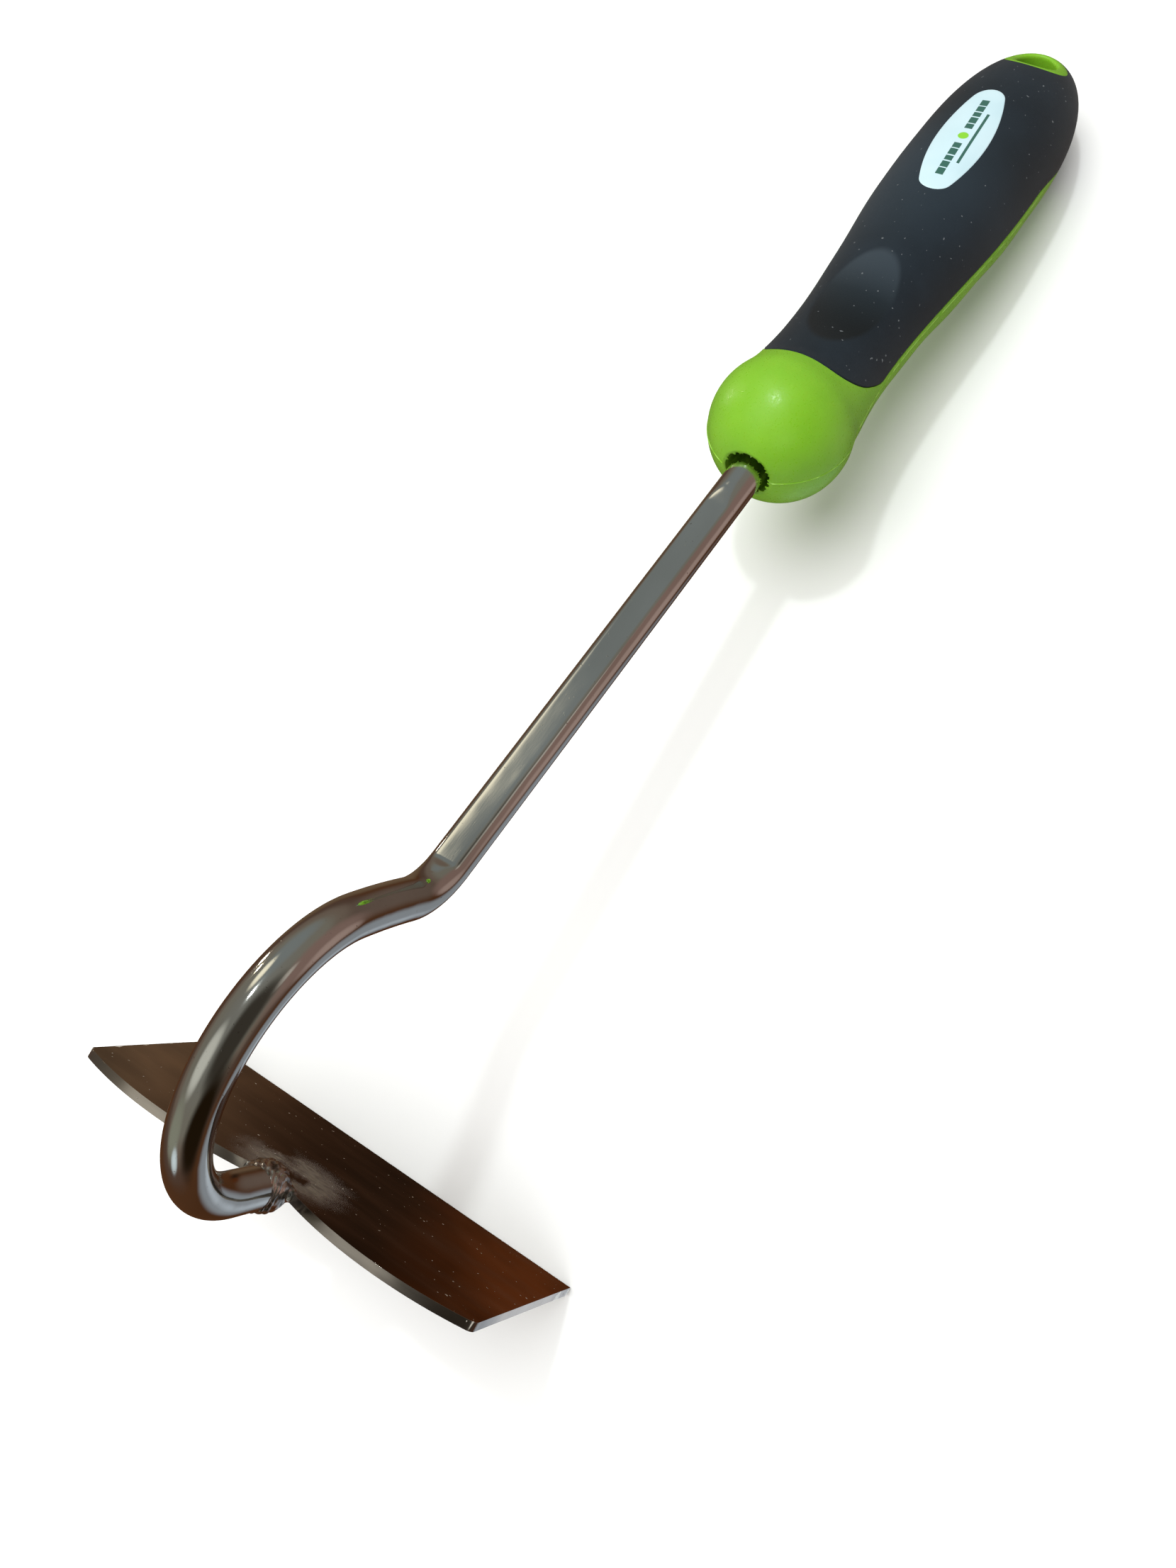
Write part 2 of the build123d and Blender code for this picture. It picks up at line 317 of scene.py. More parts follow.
def weld_steel():
    """Weld metal: duller, with dark scale and copper-coloured heat tint."""
    m = Nodes("weld_steel")
    m.set(Metallic=1.0)
    patches = m.noise(600, detail=4)
    metal = m.ramp(
        patches,
        (0.34, (0.13, 0.12, 0.11)),
        (0.55, (0.58, 0.56, 0.53)),
        (0.74, (0.62, 0.46, 0.36)),
    )
    m.wear("Base Color", metal)
    m.wear("Roughness", m.ramp(patches, (0.3, 0.36), (0.7, 0.20)))
    m.wear("Normal", m.bump(m.noise(2400, detail=3), 0.3, 0.0001))
    return m.material


PARTING_HIGHLIGHT_HALF_WIDTH = 0.00006
PARTING_HIGHLIGHT_EDGE = 0.00008


def green_plastic():
    """Moulded green plastic with a fine spark-eroded grain and a painted highlight along the parting line."""
    m = Nodes("green_plastic")
    m.set(Specular_IOR_Level=0.55, Subsurface_Weight=0.08, Subsurface_Scale=0.002)
    clouds = m.noise(70, detail=3)
    base = m.ramp(clouds, (0.3, (0.160, 0.385, 0.016)), (0.7, (0.195, 0.440, 0.022)))
    broken = m.ramp(m.noise(420, detail=2), (0.42, 0.0), (0.56, 0.7))
    height = m.tool_axis(TOOL_Z, TOOL_ORIGIN)
    # Painted highlight: a broken lighter line along the parting line, where its raised ridge catches the
    # light.
    parting = m.band(height, PARTING_HIGHLIGHT_HALF_WIDTH, PARTING_HIGHLIGHT_EDGE)
    m.wear("Base Color", m.mix(m.times(parting, broken), base, (0.42, 0.70, 0.16)))
    m.wear("Roughness", m.ramp(m.noise(1900, detail=2), (0.35, 0.27), (0.65, 0.47)))
    m.wear("Normal", m.bump(m.noise(1700, detail=2), 0.45, 0.00007))
    return m.material


THUMB_MIDDLE = tool_point(172, 0, 13)
THUMB_HALF_LENGTH = 0.0155   # the part of the thumb dent that is rubbed smooth and carries painted shade and light
THUMB_HALF_WIDTH = 0.0078


def soft_rubber():
    """Soft-touch rubber: blue-black, matt, clouds and dust specks, a painted sheen on the belly's top, and a
    thumb rest rubbed smooth with painted shade at its near end and painted light at its far end.
    """
    m = Nodes("soft_rubber")
    m.set(Sheen_Weight=0.05, Sheen_Roughness=0.5, Specular_IOR_Level=0.24)
    clouds = m.noise(45, detail=4, roughness=0.6)
    base = m.ramp(clouds, (0.3, (0.0065, 0.0105, 0.0145)), (0.7, (0.0125, 0.0190, 0.0265)))
    # Painted sheen: the top of the belly is mixed lighter and bluer, as where the light falls on it.
    painted_belly_sheen = m.near(tool_point(214, 4, 17), 0.004, 0.034)
    base = m.mix(m.ramp(painted_belly_sheen, (0.0, 0.0), (1.0, 0.55)), base, (0.022, 0.034, 0.046))
    thumb = m.oval(THUMB_MIDDLE, THUMB_HALF_LENGTH, THUMB_HALF_WIDTH, 0.16)
    # Painted shade and light in the thumb dent: its near end is painted darker and its far end lighter, as
    # its slopes turn from and towards the light.
    towards_butt = m.between(m.tool_axis(TOOL_X, THUMB_MIDDLE), -0.010, 0.015)
    polished = m.ramp(
        towards_butt,
        (0.0, (0.0040, 0.0058, 0.0072)),
        (0.5, (0.0105, 0.0160, 0.0210)),
        (1.0, (0.0290, 0.0400, 0.0510)),
    )
    base = m.mix(thumb, base, polished)
    specks = m.ramp(m.noise(1300, detail=0), (0.82, 0.0), (0.85, 1.0))
    m.wear("Base Color", m.mix(specks, base, (0.12, 0.13, 0.14)))
    rough = m.ramp(clouds, (0.3, 0.58), (0.7, 0.70))
    m.wear("Roughness", m.mix(thumb, rough, (0.40, 0.40, 0.40)))
    m.wear("Normal", m.bump(m.noise(2600, detail=2), 0.3, 0.00006))
    return m.material


LABEL_X = 228
LABEL_Y = 1.3
LABEL_TWIST = radians(3.3)
LABEL_MIDDLE = tool_point(LABEL_X, LABEL_Y, 15.8)
PRINT_HALF_WIDTH = 0.0009
PRINT_LENGTHS = (            # distance from the label's middle and half length of each printed block
    (0.0038, 0.0009), (0.0062, 0.0011), (0.0086, 0.0008), (0.0109, 0.0010), (0.0134, 0.0011),
)
RULE_OFFSET = -0.0025
RULE_HALF_LENGTH = 0.0095
RULE_HALF_WIDTH = 0.00030
DOT_RADIUS = 0.00125
PRINT_EDGE = 0.00008


def label_film():
    """Pale blue-white film with plain printed blocks, a rule and a dot, and no wording."""
    m = Nodes("label_film")
    m.set(Coat_Weight=0.25, Coat_Roughness=0.15)
    along = m.tool_axis(TOOL_X * cos(LABEL_TWIST) + TOOL_Y * sin(LABEL_TWIST), LABEL_MIDDLE)
    across = m.tool_axis(TOOL_Y * cos(LABEL_TWIST) - TOOL_X * sin(LABEL_TWIST), LABEL_MIDDLE)
    film = m.ramp(m.noise(120, detail=2), (0.3, (0.50, 0.67, 0.73)), (0.7, (0.55, 0.71, 0.77)))
    ink = (0.030, 0.110, 0.085)
    row = m.band(across, PRINT_HALF_WIDTH, PRINT_EDGE)
    for side in (-1, 1):
        for distance, half_length in PRINT_LENGTHS:
            block = m.band(along, half_length, PRINT_EDGE, side * distance)
            film = m.mix(m.times(block, row), film, ink)
    rule = m.band(across, RULE_HALF_WIDTH, PRINT_EDGE, RULE_OFFSET)
    film = m.mix(m.times(m.band(along, RULE_HALF_LENGTH, PRINT_EDGE), rule), film, ink)
    dot = m.near(LABEL_MIDDLE, DOT_RADIUS - PRINT_EDGE, DOT_RADIUS + PRINT_EDGE)
    m.wear("Base Color", m.mix(dot, film, (0.22, 0.56, 0.03)))
    m.wear("Roughness", m.ramp(m.noise(500, detail=3), (0.3, 0.34), (0.7, 0.46)))
    m.wear("Normal", m.bump(m.noise(260, detail=2), 0.1, 0.00008))
    return m.material


def dress(made, material, node):
    """Material, body, slot and the CAD node that a piece stands for."""
    made.data.materials.clear()
    made.data.materials.append(material)
    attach(made, "root")
    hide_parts(node)


BAR_STEEL = polished_bar_steel()
BLADE_STEEL = blade_steel()
WELD_STEEL = weld_steel()
GREEN = green_plastic()
RUBBER = soft_rubber()
LABEL_FILM = label_film()


# ---- bar's centre line
# Lengths here and below are in millimetres in the tool's own axes, as in the CAD part.
BAR_RADIUS = 4
BAR_START = 150              # x where the bar begins, out of sight inside the grip
BEND_START = 16.5
SHAFT_STEPS = 240
NECK_STEP = 0.45
FEWEST_BEND_STEPS = 12
NECK_END_STEPS = 24
NECK_TURNS = (               # radius and turn in degrees of each bend of the neck
    (14.2, -54.2),
    (170, 5.6),
    (27.5, 161.1),
)
NECK_END_LENGTH = 13.5
FLAT_PROFILE = ((12, 5.2), (16, 3.2), (112, 3.2), (118, 4.0))
FLAT_EDGE = 0.14             # rounding of the flat's long edges


def bar_stations():
    """Points (x, z) and headings along the bar, from inside the grip to the blade."""
    stations = []
    for i in range(SHAFT_STEPS):
        stations.append(((BAR_START + (BEND_START - BAR_START) * i / SHAFT_STEPS, 0.0), pi))
    x, z, heading = BEND_START, 0.0, pi
    for radius, turn in NECK_TURNS:
        side = 1 if turn > 0 else -1
        centre = (x - side * radius * sin(heading), z + side * radius * cos(heading))
        steps = max(FEWEST_BEND_STEPS, int(radius * radians(abs(turn)) / NECK_STEP))
        for i in range(steps):
            angle = heading + radians(turn) * i / steps
            place = (centre[0] + side * radius * sin(angle), centre[1] - side * radius * cos(angle))
            stations.append((place, angle))
        heading += radians(turn)
        x = centre[0] + side * radius * sin(heading)
        z = centre[1] - side * radius * cos(heading)
    for i in range(NECK_END_STEPS + 1):
        reach = NECK_END_LENGTH * i / NECK_END_STEPS
        stations.append(((x + cos(heading) * reach, z + sin(heading) * reach), heading))
    return stations


BAR_STATIONS = bar_stations()
BAR_END, BAR_END_HEADING = BAR_STATIONS[-1]


def profile_height(profile, x):
    """Height of a profile at x, level at each of its points; the last height holds beyond."""
    for (x0, z0), (x1, z1) in zip(profile, profile[1:]):
        if x <= x1:
            return z0 + (z1 - z0) * smoothstep(x0, x1, x)
    return profile[-1][1]


def soft_lower(z, limit, edge):
    """The lower of z and limit, with the corner between them rounded."""
    gap = (limit - z) / edge
    return z if gap > 30 else limit - edge * log1p(exp(gap))


def build_bar():
    """The bar as rings along its centre line, with the flat pressed into its top."""
    around = 144
    rings = []
    for (x, z), heading in BAR_STATIONS:
        up = (sin(heading), -cos(heading))
        ring = []
        for i in range(around):
            angle = 2 * pi * i / around
            rise = BAR_RADIUS * cos(angle)
            px = x + up[0] * rise
            pz = z + up[1] * rise
            if FLAT_PROFILE[0][0] <= px <= FLAT_PROFILE[-1][0]:
                pz = soft_lower(pz, profile_height(FLAT_PROFILE, px), FLAT_EDGE)
            ring.append(tool_point(px, BAR_RADIUS * sin(angle), pz))
        rings.append(ring)
    vertices = [p for ring in rings for p in ring]
    faces = ring_faces(len(rings), around)
    faces.append(tuple(range(around)))
    faces.append(tuple(range(len(vertices) - around, len(vertices))))
    made = mesh_object("gooseneck_bar_polished", vertices, faces, radians(50))
    dress(made, BAR_STEEL, "gooseneck_bar")


# ---- blade
BLADE_PITCH = radians(69.5)
BLADE_THICKNESS = 1.8
BLADE_OFFSET = 0.7
BLADE_HEIGHT = 48
EDGE_HALF = 49.3
SHOULDER_HALF = 45.9
SHOULDER_RISE = 0.3
LOBE_X = 23.2
LOBE_RISE = 5.1
SEAT_HALF = 4
SHOULDER_ROUND = 1.0
EDGE_BEVEL = 0.7
WAVE_HEIGHT = 0.05           # slow waves left by rolling, flat towards the edges
WAVE_SCALE = (0.06, 0.09)
WAVE_FADE = 0.1
FALL = (cos(BLADE_PITCH), -sin(BLADE_PITCH))
FACING = (sin(BLADE_PITCH), cos(BLADE_PITCH))
SEAT = (BAR_END[0] + FACING[0] * BLADE_OFFSET, BAR_END[1] + FACING[1] * BLADE_OFFSET)


def blade_point(across, up, out):
    """A point from the blade's own axes: across, up towards the bar, and out of its front."""
    x = SEAT[0] - FALL[0] * up + FACING[0] * out
    z = SEAT[1] - FALL[1] * up + FACING[1] * out
    return tool_point(x, across, z)


def arc_through(first, middle, last):
    """Centre and radius of the circle through three points."""
    (ax, ay), (bx, by), (cx, cy) = first, middle, last
    d = 2 * (ax * (by - cy) + bx * (cy - ay) + cx * (ay - by))
    a2, b2, c2 = ax * ax + ay * ay, bx * bx + by * by, cx * cx + cy * cy
    ux = (a2 * (by - cy) + b2 * (cy - ay) + c2 * (ay - by)) / d
    uy = (a2 * (cx - bx) + b2 * (ax - cx) + c2 * (bx - ax)) / d
    return ux, uy, sqrt((ax - ux) ** 2 + (ay - uy) ** 2)


LOBE_ARC = arc_through((SEAT_HALF, 0), (LOBE_X, LOBE_RISE), (SHOULDER_HALF, SHOULDER_RISE))


def blade_top(across):
    """Height of the blade's upper edge above the seat."""
    reach = abs(across)
    if reach <= SEAT_HALF:
        return 0.0
    centre_x, centre_y, radius = LOBE_ARC
    top = centre_y + sqrt(radius**2 - (reach - centre_x) ** 2)
    corner = max(reach - (SHOULDER_HALF - SHOULDER_ROUND), 0)
    return top - (SHOULDER_ROUND - sqrt(max(SHOULDER_ROUND**2 - corner**2, 0)))


def blade_columns():
    """Places across the blade, closer together at the seat and the shoulders."""
    half = [0, 1.3, 2.6, 3.5, 3.9, 4.1, 4.6]
    half += [5.2 + (SHOULDER_HALF - SHOULDER_ROUND - 5.2) * i / 60 for i in range(61)]
    half += [SHOULDER_HALF - SHOULDER_ROUND * (1 - sin(pi / 2 * i / 8)) for i in range(1, 9)]
    return [-c for c in reversed(half[1:])] + half


def build_blade():
    """The plate as two grids, its edges, and the bevel along its foot."""
    columns = blade_columns()
    rows = 56
    vertices = []
    for out in (BLADE_THICKNESS / 2, -BLADE_THICKNESS / 2):
        foot = -BLADE_HEIGHT + (EDGE_BEVEL if out < 0 else 0)
        for across in columns:
            top = blade_top(across)
            for r in range(rows + 1):
                share = r / rows
                up = top + (foot - top) * share
                spread = 1 + (EDGE_HALF / SHOULDER_HALF - 1) * max(-up, 0) / BLADE_HEIGHT
                spot = Vector((across * WAVE_SCALE[0], up * WAVE_SCALE[1], 3.0))
                wave = noise.noise(spot) * WAVE_HEIGHT
                fade = min(share, 1 - share, WAVE_FADE) / WAVE_FADE
                vertices.append(blade_point(across * spread, up, out + wave * fade))
    foot_row = len(vertices)
    for across in columns:
        spread = EDGE_HALF / SHOULDER_HALF
        vertices.append(blade_point(across * spread, -BLADE_HEIGHT, EDGE_BEVEL - BLADE_THICKNESS / 2))
    deep = rows + 1
    side = len(columns) * deep
    faces = []
    for c in range(len(columns) - 1):
        for r in range(rows):
            a = c * deep + r
            faces.append((a, a + 1, a + deep + 1, a + deep))
            faces.append((side + a, side + a + deep, side + a + deep + 1, side + a + 1))
        a = c * deep
        b = a + rows
        faces.append((a, a + deep, side + a + deep, side + a))
        faces.append((b, foot_row + c, foot_row + c + 1, b + deep))
        faces.append((foot_row + c, side + b, side + b + deep, foot_row + c + 1))
    for c in (0, len(columns) - 1):
        for r in range(rows):
            a = c * deep + r
            faces.append((a, side + a, side + a + 1, a + 1))
        faces.append((c * deep + rows, side + c * deep + rows, foot_row + c))
    made = mesh_object("blade_plate", vertices, faces, radians(30))
    soften(made, 0.16, 3, 30)
    dress(made, BLADE_STEEL, "blade")


def soften(made, width, segments, angle):
    """Rounds a mesh's sharp edges and keeps its broad faces flat."""
    bevel = made.modifiers.new("rounded_edges", "BEVEL")
    bevel.width = width * MM
    bevel.segments = segments
    bevel.limit_method = "ANGLE"
    bevel.angle_limit = radians(angle)
    bevel.harden_normals = True
    apply_modifiers(made)


# ---- weld
BEAD_PROFILE = (             # along the bar's end, radius; the seat is at 0
    (-6.0, 3.7), (-5.4, 4.15), (-4.2, 4.55), (-2.0, 4.85),
    (0.0, 4.55), (1.6, 3.2), (3.2, 1.9), (3.9, 1.0),
)
TOE_SPAN = 12.6
TOE_RADIUS = 1.75
TOE_TIP_RADIUS = 0.2
TOE_FULLNESS = 3.5
WELD_VOXEL = 0.16
RIPPLE_HEIGHT = 0.22
RIPPLE_PACE = 2.6            # radians of ripple for each millimetre across the weld
RIPPLE_CURVE = 0.30
RIPPLE_MIDDLE = -1.5
RIPPLE_LEVEL = 0.6
ROUGH_HEIGHT = 0.20
ROUGH_SCALE = 0.9


def bead_radius(along):
    """Radius of the bead at a distance along the bar's end."""
    for (s0, r0), (s1, r1) in zip(BEAD_PROFILE, BEAD_PROFILE[1:]):
        if along <= s1:
            return r0 + (r1 - r0) * smoothstep(0, 1, (along - s0) / (s1 - s0))
    return BEAD_PROFILE[-1][1]


def bead_point(along, angle, radius):
    """A point round the bar's end; angle 0 faces away from the grip."""
    x = BAR_END[0] + cos(BAR_END_HEADING) * along + sin(BAR_END_HEADING) * radius * cos(angle)
    z = BAR_END[1] + sin(BAR_END_HEADING) * along - cos(BAR_END_HEADING) * radius * cos(angle)
    return tool_point(x, radius * sin(angle), z)


def build_weld():
    """A bead round the bar's end and a toe along the blade, fused into one lump and rippled."""
    around = 72
    steps = 40
    rings = []
    first, last = BEAD_PROFILE[0][0], BEAD_PROFILE[-1][0]
    for i in range(steps + 1):
        along = first + (last - first) * i / steps
        rings += [bead_point(along, 2 * pi * k / around, bead_radius(along)) for k in range(around)]
    faces = ring_faces(steps + 1, around)
    faces.append(tuple(range(around)))
    faces.append(tuple(range(len(rings) - around, len(rings))))
    toe_first = len(rings)
    toe_steps, toe_around = 40, 24
    for i in range(toe_steps + 1):
        share = -1 + 2 * i / toe_steps
        radius = max(TOE_RADIUS * sqrt(1 - abs(share) ** TOE_FULLNESS), TOE_TIP_RADIUS)
        for k in range(toe_around):
            angle = 2 * pi * k / toe_around
            rings.append(blade_point(share * TOE_SPAN / 2, radius * sin(angle), radius * cos(angle)))
    faces += ring_faces(toe_steps + 1, toe_around, toe_first)
    faces.append(tuple(range(toe_first, toe_first + toe_around)))
    faces.append(tuple(range(len(rings) - toe_around, len(rings))))
    made = mesh_object("weld_bead_rippled", rings, faces)
    fuse = made.modifiers.new("fused", "REMESH")
    fuse.mode = "VOXEL"
    fuse.voxel_size = WELD_VOXEL * MM
    smooth = made.modifiers.new("smoothed", "SMOOTH")
    smooth.iterations = 6
    mesh = apply_modifiers(made)
    ripple_weld(mesh)
    mesh.shade_smooth()
    dress(made, WELD_STEEL, "weld_bead")


def ripple_weld(mesh):
    """Overlapping crescents left by each pause of the weld, on a rough skin."""
    end = tool_point(BAR_END[0], 0, BAR_END[1])
    beyond = tool_point(BAR_END[0] + cos(BAR_END_HEADING), 0, BAR_END[1] + sin(BAR_END_HEADING))
    axis = (beyond - end).normalized()
    normals = [n.vector.copy() for n in mesh.vertex_normals]
    for vertex, normal in zip(mesh.vertices, normals):
        arm = vertex.co - end
        along = arm.dot(axis) / MM
        across = arm.y / MM
        phase = across * RIPPLE_PACE + RIPPLE_CURVE * (along - RIPPLE_MIDDLE) ** 2
        crescent = abs(sin(phase)) - RIPPLE_LEVEL
        rough = noise.noise(vertex.co / MM * ROUGH_SCALE)
        vertex.co += normal * (RIPPLE_HEIGHT * crescent + ROUGH_HEIGHT * rough) * MM


# ---- grip's surface
BALL_X = 140.5
BALL_RADIUS = 16.2
MOUTH_RADIUS = 5.5
MOUTH_LAND = 0.6
MOUTH_DEPTH = 7
BALL_END = 145.4             # from here the ball flows into the neck
GRIP_START = 152
NECK_X = 166
NECK_HALF_WIDTH = 13.4
NECK_TOP = 12.3
NECK_BOTTOM = 13.2
NECK_FLARE = 0.005
BELLY_X = 229
BELLY_SWELL = 4.0
BELLY_TOP_SWELL = 3.5
BELLY_BOTTOM_SWELL = 2.6
RIDGE_PITCH = 25
FIRST_RIDGE_X = 172
RIDGE_HEIGHT = 0.5
DOME_START = 238
DOME_POWER = 2.4
BUTT_X = 280.5
BUTT_END = 280
CAP_START = 279.2            # the butt's last stretch closes as a shallow dome
COVER_THICKNESS = 2.2


def belly(x):
    """0 at the neck, 1 at the belly and beyond."""
    share = min(max((x - NECK_X) / (BELLY_X - NECK_X), 0), 1)
    return (1 - cos(pi * share)) / 2


def grip_half_sizes(x):
    """Half width, top and bottom of the grip behind the ball."""
    flare = NECK_FLARE * max(NECK_X - x, 0) ** 2
    closed = max(x - DOME_START, 0) / (BUTT_X - DOME_START)
    closing = (1 - closed**DOME_POWER) ** (1 / DOME_POWER)
    fade = sqrt(sin(pi * min(max((x - NECK_X) / (DOME_START - NECK_X), 0), 1)))
    ridge = fade * RIDGE_HEIGHT * cos(2 * pi * (x - FIRST_RIDGE_X) / RIDGE_PITCH)
    swell = belly(x)
    return (
        (NECK_HALF_WIDTH + flare + BELLY_SWELL * swell) * closing,
        (NECK_TOP + flare + BELLY_TOP_SWELL * swell) * closing,
        (NECK_BOTTOM + flare + BELLY_BOTTOM_SWELL * swell + ridge) * closing,
    )


def ball_radius(x):
    return sqrt(max(BALL_RADIUS**2 - (x - BALL_X) ** 2, 0))


@lru_cache(maxsize=None)
def section(x):
    """Half width, height of the middle and half height of the grip's ellipse at x."""
    if x > CAP_START:
        closing = sqrt(max(1 - (x - CAP_START) / (BUTT_END - CAP_START), 0))
        half_width, middle, half_height = section(CAP_START)
        return half_width * closing, middle, half_height * closing
    if x <= BALL_END:
        radius = ball_radius(x)
        return radius, 0.0, radius
    if x >= GRIP_START:
        half_width, top, bottom = grip_half_sizes(x)
        return half_width, (top - bottom) / 2, (top + bottom) / 2
    span = GRIP_START - BALL_END
    t = (x - BALL_END) / span
    start = ball_radius(BALL_END)
    start_slope = -(BALL_END - BALL_X) / start * span
    ends = grip_half_sizes(GRIP_START)
    end_slope = -2 * NECK_FLARE * (NECK_X - GRIP_START) * span
    half_width, top, bottom = (
        (2 * t**3 - 3 * t**2 + 1) * start + (t**3 - 2 * t**2 + t) * start_slope
        + (3 * t**2 - 2 * t**3) * end + (t**3 - t**2) * end_slope
        for end in ends
    )
    return half_width, (top - bottom) / 2, (top + bottom) / 2


def grip_point(x, angle, depth=0.0):
    """A point (x, y, z) on the grip; angle 0 is the top and depth goes straight in."""
    half_width, middle, half_height = section(x)
    step = 0.05
    near = section(min(x + step, BUTT_END))
    far = section(x - step)
    run = min(x + step, BUTT_END) - (x - step)
    y, z = half_width * sin(angle), middle + half_height * cos(angle)
    if depth == 0:
        return Vector((x, y, z))
    slope_y = (near[0] - far[0]) / run * sin(angle)
    slope_z = (near[1] - far[1]) / run + (near[2] - far[2]) / run * cos(angle)
    along = Vector((1, slope_y, slope_z))
    round_it = Vector((0, half_width * cos(angle), -half_height * sin(angle)))
    outward = along.cross(round_it).normalized()
    return Vector((x, y, z)) - outward * depth


# ---- seam
SEAM_Z = 1.0
SEAM_SIDE_START = 164.0
SEAM_SIDE_END = 236.0
SEAM_FRONT = ((149, 14), (151, 9.5), (156.3, 4.5), (164, 1.0))
SEAM_REAR = ((236, 1.0), (248, -1.5), (256, -6.0), (262, -20.0))
SEAM_CORNER = 0.35           # rounding of both plastics at the seam
SEAM_GAP = 0.07


def smooth_curve(points, start_tangent, end_tangent, steps=60):
    """Points on a smooth curve through a few points, with given end directions."""
    tangents = [Vector(start_tangent)]
    for before, after in zip(points, points[2:]):
        tangents.append((Vector(after) - Vector(before)) / 2)
    tangents.append(Vector(end_tangent))
    curve = []
    for i in range(len(points) - 1):
        a, b = Vector(points[i]), Vector(points[i + 1])
        for k in range(steps):
            t = k / steps
            curve.append(
                a * (2 * t**3 - 3 * t**2 + 1) + tangents[i] * (t**3 - 2 * t**2 + t)
                + b * (3 * t**2 - 2 * t**3) + tangents[i + 1] * (t**3 - t**2)
            )
    curve.append(Vector(points[-1]))
    return curve


FRONT_CURVE = smooth_curve(SEAM_FRONT, (0, -4.5), (8, 0))
REAR_CURVE = smooth_curve(SEAM_REAR, (12, 0), (0, -14))


@lru_cache(maxsize=None)
def seam_height(x):
    """Height of the seam at x in side view."""
    if SEAM_SIDE_START <= x <= SEAM_SIDE_END:
        return SEAM_Z
    curve = FRONT_CURVE if x < SEAM_SIDE_START else REAR_CURVE
    for before, after in zip(curve, curve[1:]):
        if x <= after.x:
            share = (x - before.x) / max(after.x - before.x, 1e-9)
            return before.y + (after.y - before.y) * min(max(share, 0), 1)
    return -BALL_RADIUS * 2


def angle_at_height(x, z):
    half_width, middle, half_height = section(x)
    share = (z - middle) / half_height
    return pi if share <= -1 else (0.0 if share >= 1 else atan2(sqrt(1 - share**2), share))


def seam_angle(x):
    return angle_at_height(x, seam_height(x))


def solve(function, low, high):
    """Where a function that rises through zero crosses it."""
    for _ in range(40):
        middle = (low + high) / 2
        if function(middle) > 0:
            high = middle
        else:
            low = middle
    return (low + high) / 2


CORNER_ANGLE = seam_angle(SEAM_SIDE_START)
SEAM_CLOSE = solve(lambda x: seam_angle(x) - (pi - 1e-6), 250.0, 262.0)
FRONT_BLEND_END = 172.0


@lru_cache(maxsize=None)
def front_x_at(angle):
    """x of the front seam at an angle from the top."""
    if angle >= CORNER_ANGLE:
        return SEAM_SIDE_START
    return solve(lambda x: grip_point(x, angle).z - seam_height(x), SEAM_FRONT[0][0], SEAM_SIDE_START)


def front_x(angle):
    return front_x_at(round(abs(angle), 9))


def rolled(distance):
    """Depth of a rounded edge at a distance from the seam."""
    if distance >= SEAM_CORNER:
        return 0.0
    rest = SEAM_CORNER - max(distance, 0)
    return SEAM_CORNER - sqrt(SEAM_CORNER**2 - rest**2)


# ---- soft cover
SEAM_BANDS = (0, 0.05, 0.11, 0.18, 0.26, 0.35)
TOP_COLUMNS = 40             # over half of the cover
DENT_X = 172
DENT_HALF_LENGTH = 16
DENT_HALF_WIDTH = 8
DENT_DEPTH = 0.9


def steps_between(low, high, step):
    count = max(1, round((high - low) / step))
    return [low + (high - low) * i / count for i in range(count)]


def cover_rows():
    """Rows from the front seam to the butt: ("front", distance, share) or ("at", x, 0)."""
    last_band = SEAM_BANDS[-1]
    rows = [("front", band, 0) for band in SEAM_BANDS]
    rows += [("front", last_band, (i / 28) ** 1.25) for i in range(1, 28)]
    places = steps_between(FRONT_BLEND_END, SEAM_SIDE_END, 1.0)
    places += steps_between(SEAM_SIDE_END, 257, 0.6)
    places += steps_between(257, SEAM_CLOSE - 0.35, 0.2)
    places += [SEAM_CLOSE - band for band in reversed(SEAM_BANDS)]
    places += [SEAM_CLOSE + band for band in SEAM_BANDS[1:]]
    places += steps_between(SEAM_CLOSE + 0.6, CAP_START, 0.5)
    places += [BUTT_END - (BUTT_END - CAP_START) * (1 - i / 9) ** 2 for i in range(9)]
    places.append(BUTT_END - 0.001)
    return rows + [("at", x, 0) for x in places]


COVER_ROWS = cover_rows()
CLOSED_ROW = next(i for i, row in enumerate(COVER_ROWS) if row[0] == "at" and row[1] >= SEAM_CLOSE)


def row_x(row, angle, gap):
    """x of a row at an angle; gap moves the front edge back from the seam."""
    kind, distance, share = row
    if kind == "at":
        return distance
    edge = front_x(angle) + gap + distance
    return edge + (FRONT_BLEND_END - edge) * share


def cover_grid(gap, depth_of):
    """Points over the cover, row by row; depth_of(x, angle, distance) is how deep each lies."""
    grid = []
    for index, row in enumerate(COVER_ROWS):
        side_x = row_x(row, pi, gap)
        half_width = section(side_x)[0]
        closed = index >= CLOSED_ROW
        edge = pi
        if not closed:
            edge = min(seam_angle(max(side_x, SEAM_SIDE_START)) - gap / half_width, pi)
        bands = [edge - band / max(half_width, 2) for band in reversed(SEAM_BANDS)]
        half = [bands[0] * i / TOP_COLUMNS for i in range(TOP_COLUMNS)] + bands
        ring = []
        for angle in [-a for a in reversed(half[1:])] + half:
            x = side_x if abs(angle) >= edge else row_x(row, angle, gap)
            beside = (edge - abs(angle)) * half_width
            if closed:
                beside = sqrt((x - SEAM_CLOSE) ** 2 + beside**2)
            if row[0] == "front":
                beside = min(beside, x - front_x(angle) - gap)
            ring.append(grip_point(x, angle, depth_of(x, angle, beside)))
        grid.append(ring)
    return grid


